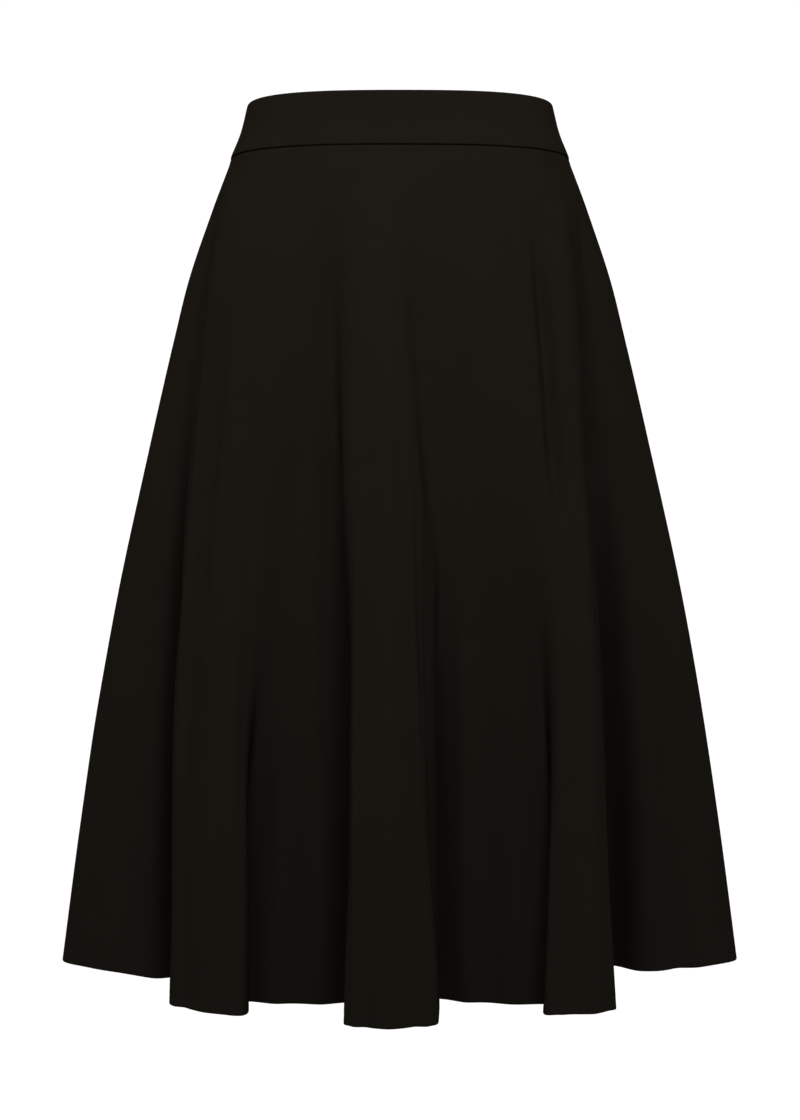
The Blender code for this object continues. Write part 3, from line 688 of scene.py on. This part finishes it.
def zip_tape(name, node, side):
    """One tape. side is -1 for the wearer's left and 1 for the right, as the ring runs."""
    rows = zip_rows(level_drop(TAPE_TOP_DROP))
    loop = [(drop, -sunk) for drop, sunk in rows]
    loop += [(drop, -sunk - TAPE_CLOTH) for drop, sunk in reversed(rows)]
    offsets = np.linspace(TAPE_START, TAPE_START + TAPE_WIDTH, 9)
    offsets = offsets if side > 0 else -offsets[::-1]
    points, cut = [], []
    for drop, out in loop:
        ring = Ring(drop)
        distance = ring.distance(CENTRE_BACK) + offsets
        points.append(ring.points(distance, out))
        cut.append(np.column_stack([offsets, -ring.drop(distance)]))
    tape = shell(name, np.array(points), np.array(cut), black_tape)
    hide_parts(node)
    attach(tape, "skirt")


zip_tape("tape_left", "zip_tape_left", -1)
zip_tape("tape_right", "zip_tape_right", 1)


def new_tree(name, inputs):
    """A Geometry Nodes tree with named inputs, and its input and output nodes."""
    tree = bpy.data.node_groups.new(name, "GeometryNodeTree")
    tree.interface.new_socket("Geometry", in_out="INPUT", socket_type="NodeSocketGeometry")
    for label, kind in inputs.items():
        tree.interface.new_socket(label, in_out="INPUT", socket_type="NodeSocket" + kind)
    tree.interface.new_socket("Geometry", in_out="OUTPUT", socket_type="NodeSocketGeometry")
    return tree, tree.nodes.new("NodeGroupInput"), tree.nodes.new("NodeGroupOutput")


def placed(tree, kind, settings=None, **inputs):
    """Add a geometry node with its settings, values and links."""
    made = tree.nodes.new(kind)
    for name, value in (settings or {}).items():
        setattr(made, name, value)
    for name, value in inputs.items():
        socket = made.inputs[name.replace("_", " ")]
        if isinstance(value, bpy.types.NodeSocket):
            tree.links.new(value, socket)
        else:
            socket.default_value = value
    return made


def along_path(tree, source, finish, pitch, instance, across_axis):
    """Repeat an instance at a pitch along the path, turned to follow it, and make it real."""
    curve = placed(tree, "GeometryNodeMeshToCurve", Mesh=source.outputs["Geometry"])
    spaced = placed(tree, "GeometryNodeResampleCurve", {"mode": "LENGTH"},
                    Curve=curve.outputs["Curve"], Length=pitch)
    tangent = placed(tree, "GeometryNodeInputTangent")
    along = placed(tree, "FunctionNodeAlignRotationToVector", {"axis": "Z"},
                   Vector=tangent.outputs["Tangent"])
    turned = placed(tree, "FunctionNodeAlignRotationToVector", {"axis": "X", "pivot_axis": "Z"},
                    Rotation=along.outputs["Rotation"], Vector=across_axis)
    copies = placed(tree, "GeometryNodeInstanceOnPoints", Points=spaced.outputs["Curve"],
                    Instance=instance, Rotation=turned.outputs["Rotation"])
    real = placed(tree, "GeometryNodeRealizeInstances", Geometry=copies.outputs["Instances"])
    smooth = placed(tree, "GeometryNodeSetShadeSmooth", Geometry=real.outputs["Geometry"])
    painted = placed(tree, "GeometryNodeSetMaterial", Geometry=smooth.outputs["Geometry"],
                     Material=source.outputs["Material"])
    tree.links.new(painted.outputs["Geometry"], finish.inputs["Geometry"])


def made_along(tree, name, paths, values):
    """Run a tree over paths of points and keep the result as a plain mesh."""
    corners, edges = [], []
    for path in paths:
        edges += [(len(corners) + step, len(corners) + step + 1) for step in range(len(path) - 1)]
        corners += path.tolist()
    mesh = bpy.data.meshes.new(name + "_path")
    mesh.from_pydata(corners, edges, [])
    carrier = bpy.data.objects.new(name + "_path", mesh)
    bpy.context.collection.objects.link(carrier)
    modifier = carrier.modifiers.new("made", "NODES")
    modifier.node_group = tree
    for item in tree.interface.items_tree:
        if item.in_out == "INPUT" and item.name in values:
            modifier[item.identifier] = values[item.name]
    ready = carrier.evaluated_get(bpy.context.evaluated_depsgraph_get())
    piece = bpy.data.objects.new(name, bpy.data.meshes.new_from_object(ready))
    piece.data.name = name
    bpy.data.objects.remove(carrier)
    bpy.context.collection.objects.link(piece)
    return piece


def nylon():
    made, tree, shader = new_material("black_nylon", 0.52, 0.10)
    place = Socket.node(tree, "ShaderNodeTexCoord", output=3)
    speck = noise(tree, place, 900.0, 1.0)
    feed(tree, shader, Base_Color=blend(tree, speck, (0.0060, 0.0060, 0.0062), (0.0110, 0.0108, 0.0106)),
         Roughness=0.42 + speck * 0.18)
    return made


COIL_WIDTH = 0.0026
COIL_DEPTH = 0.0012
COIL_WIRE = 0.00034
COIL_PITCH = 0.00095
COIL_SLANT = 0.74               # each turn leans, so its back run lies between two front runs
SLIDER_FOOT_DROP = 0.0131


def coil_tree():
    """Turns of nylon wire, flattened, one after another along the path."""
    tree, source, finish = new_tree("coil_turns", {"Width": "Float", "Depth": "Float", "Wire": "Float",
                                                   "Pitch": "Float", "Material": "Material"})
    turn = placed(tree, "GeometryNodeCurvePrimitiveCircle", Resolution=12, Radius=0.5)
    size = placed(tree, "ShaderNodeCombineXYZ", X=source.outputs["Width"],
                  Y=source.outputs["Depth"], Z=1.0)
    shaped = placed(tree, "GeometryNodeTransform", Geometry=turn.outputs["Curve"],
                    Scale=size.outputs["Vector"], Rotation=(COIL_SLANT, 0.0, 0.0))
    wire = placed(tree, "GeometryNodeCurvePrimitiveCircle", Resolution=5, Radius=source.outputs["Wire"])
    body = placed(tree, "GeometryNodeCurveToMesh", Curve=shaped.outputs["Geometry"],
                  Profile_Curve=wire.outputs["Curve"])
    along_path(tree, source, finish, source.outputs["Pitch"], body.outputs["Mesh"], (1.0, 0.0, 0.0))
    return tree


coil_path = []
for drop, sunk in zip_rows(SLIDER_FOOT_DROP):
    ring = Ring(drop)
    behind = -sunk - TAPE_CLOTH - COIL_DEPTH / 2
    coil_path.append(ring.points(np.array([ring.distance(CENTRE_BACK)]), behind)[0])
coil = made_along(coil_tree(), "coil_turns", [np.array(coil_path)],
                  {"Width": COIL_WIDTH - 2 * COIL_WIRE,
                   "Depth": (COIL_DEPTH - 2 * COIL_WIRE) / math.cos(COIL_SLANT),
                   "Wire": COIL_WIRE, "Pitch": COIL_PITCH, "Material": nylon()})
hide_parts("zip_coil")
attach(coil, "skirt")


def lacquer():
    """Black lacquer on die-cast metal, a little uneven, with the shine of handling."""
    made, tree, shader = new_material("black_lacquer", 0.40, 0.11)
    shader.inputs["Coat Roughness"].default_value = 0.18
    place = Socket.node(tree, "ShaderNodeTexCoord", output=3)
    worn = noise(tree, place, 420.0, 3.0)
    grain = noise(tree, place, 2600.0, 2.0)
    bump = Socket.node(tree, "ShaderNodeBump", None,
                       {"Strength": 0.12, "Distance": 0.00008, "Height": grain})
    feed(tree, shader, Base_Color=blend(tree, worn, (0.0095, 0.0092, 0.0090), (0.0150, 0.0145, 0.0138)),
         Roughness=0.34 + worn * 0.22, Coat_Weight=0.02 + worn * 0.05, Normal=bump)
    return made


black_lacquer = lacquer()
for node in ("zip_slider", "zip_pull"):
    for material_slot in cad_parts[node].material_slots:
        material_slot.material = black_lacquer

# ============================================================================================ stitches
# Matching black thread. One row of lockstitch runs round the hem just under the top of its turn, and
# shows as a faint broken line outside and again inside. A row down each tape holds the zip.
STITCH_PITCH = 0.0029
STITCH_LENGTH = 0.0023
STITCH_THREAD = 0.00017
TAPE_STITCH_OFFSET = 0.0034
TAPE_STITCH_DROP = 0.004
THREAD_PROUD = 0.00002          # the hem's thread stands this far off its inside


def stitch_tree():
    """Short rounded stitches, end to end along the path."""
    tree, source, finish = new_tree("stitch_line", {"Length": "Float", "Thread": "Float",
                                                    "Pitch": "Float", "Material": "Material"})
    bead = placed(tree, "GeometryNodeMeshUVSphere", Segments=6, Rings=6, Radius=1.0)
    half = placed(tree, "ShaderNodeMath", {"operation": "MULTIPLY"})
    tree.links.new(source.outputs["Length"], half.inputs[0])
    half.inputs[1].default_value = 0.5
    size = placed(tree, "ShaderNodeCombineXYZ", X=source.outputs["Thread"], Y=source.outputs["Thread"],
                  Z=half.outputs[0])
    stitch = placed(tree, "GeometryNodeTransform", Geometry=bead.outputs["Mesh"],
                    Scale=size.outputs["Vector"])
    along_path(tree, source, finish, source.outputs["Pitch"], stitch.outputs["Geometry"],
               (0.0, 0.0, 1.0))
    return tree


def thread():
    made, tree, shader = new_material("black_thread", 0.75, 0.06)
    place = Socket.node(tree, "ShaderNodeTexCoord", output=3)
    twist = noise(tree, place, 2400.0, 1.0)
    feed(tree, shader, Base_Color=blend(tree, twist, (0.0056, 0.0050, 0.0042), (0.0094, 0.0086, 0.0074)),
         Roughness=0.70 + twist * 0.15)
    return made


hem_ring = Ring(course_drop(1.0) - HEM_STITCHES_UP)
hem_distance = np.linspace(0, hem_ring.total, 900)
stitch_paths = [hem_ring.points(hem_distance, -HEM_GROOVE),
                hem_ring.points(hem_distance, -HEM_CLOTH - THREAD_PROUD)]
for side in (-1, 1):
    held_down = []
    for drop, sunk in zip_rows(level_drop(TAPE_STITCH_DROP)):
        ring = Ring(drop)
        distance = ring.distance(CENTRE_BACK) + np.array([side * TAPE_STITCH_OFFSET])
        held_down.append(ring.points(distance, -sunk - TAPE_CLOTH)[0])
    stitch_paths.append(np.array(held_down))
stitches = made_along(stitch_tree(), "stitches", stitch_paths,
                      {"Length": STITCH_LENGTH, "Thread": STITCH_THREAD, "Pitch": STITCH_PITCH,
                       "Material": thread()})
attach(stitches, "skirt")

# ============================================================================================== studio
# A plain pale floor well below the hem, which fades into a white surround, and soft round lamps. The
# main ones hang close in front and above, with weaker ones to the sides, and again at the back.
FLOOR_HEIGHT = -1.55
FLOOR_REACH = 0.92
FLOOR_FADE = 0.35               # width of its faded rim


def floor_paint():
    made, tree, shader = new_material("pale_floor", 0.75, 0.3)
    shader.inputs["Base Color"].default_value = (0.92, 0.92, 0.91, 1.0)
    place = Socket.node(tree, "ShaderNodeTexCoord", output=3)
    x, y = first_two(tree, place)
    from_rim = (FLOOR_REACH - (x * x + y * y) ** 0.5) / FLOOR_FADE
    feed(tree, shader, Alpha=from_rim.clamped() ** 1.5)
    return made


floor_mesh = bpy.data.meshes.new("floor")
floor_mesh.from_pydata([(-1, -1, FLOOR_HEIGHT), (1, -1, FLOOR_HEIGHT), (1, 1, FLOOR_HEIGHT),
                        (-1, 1, FLOOR_HEIGHT)], [], [(0, 1, 2, 3)])
floor_mesh.materials.append(floor_paint())
floor = bpy.data.objects.new("floor", floor_mesh)
bpy.context.collection.objects.link(floor)

LAMP_TARGET = np.array([0.0, 0.0, -0.30])
Lamp = namedtuple("Lamp", "name place size power")
LAMPS = [
    Lamp("front_above",      ( 0.0, -1.0, 1.3), 0.8, 17.1),
    Lamp("front_right",      (-0.6, -2.5, 0.9), 1.0, 19.3),
    Lamp("front_left",       ( 0.6, -2.5, 0.9), 1.0, 35.4),
    Lamp("side_right",       (-2.2, -0.7, 0.6), 1.2, 18.7),
    Lamp("side_right_back",  (-2.2,  0.7, 0.6), 1.2, 22.9),
    Lamp("side_left",        ( 2.2, -0.7, 0.6), 1.2, 16.7),
    Lamp("side_left_back",   ( 2.2,  0.7, 0.6), 1.2, 14.5),
    Lamp("back_above",       ( 0.0,  1.1, 1.3), 0.8, 15.5),
    Lamp("back_left",        ( 0.6,  2.5, 0.9), 1.0, 30.9),
    Lamp("back_right",       (-0.6,  2.5, 0.9), 1.0, 17.5),
]
for lamp in LAMPS:
    light = bpy.data.lights.new(lamp.name, "AREA")
    light.shape = "DISK"
    light.size = lamp.size
    light.energy = lamp.power
    fitted = bpy.data.objects.new(lamp.name, light)
    fitted.location = lamp.place
    aim = LAMP_TARGET - np.array(lamp.place)
    flat = math.hypot(aim[0], aim[1])
    fitted.rotation_euler = (math.atan2(flat, -aim[2]), 0.0, math.atan2(-aim[0], aim[1]))
    fitted.visible_camera = False
    bpy.context.collection.objects.link(fitted)

SURROUND_LIGHT = 0.04           # what the white surround lends the cloth
SURROUND_SEEN = 1.01            # and how much brighter the camera sees it

world = bpy.data.worlds.new("surround")
world.use_nodes = True
bpy.context.scene.world = world
surround = world.node_tree
seen = surround.nodes.new("ShaderNodeLightPath")
backdrop = surround.nodes["Background"]
backdrop.inputs["Color"].default_value = (1.0, 1.0, 1.0, 1.0)
strength = Socket(surround, seen.outputs["Is Camera Ray"]) * SURROUND_SEEN + SURROUND_LIGHT
surround.links.new(strength.socket, backdrop.inputs["Strength"])

bpy.context.scene.view_settings.view_transform = "Standard"

view = bpy.data.cameras.new("view")
view.lens = 72.6
view.shift_y = -0.0625
camera = bpy.data.objects.new("view", view)
camera.location = (0.0, -1.84, -0.2894)
camera.rotation_euler = (math.radians(90), 0.0, 0.0)
bpy.context.collection.objects.link(camera)
bpy.context.scene.camera = camera
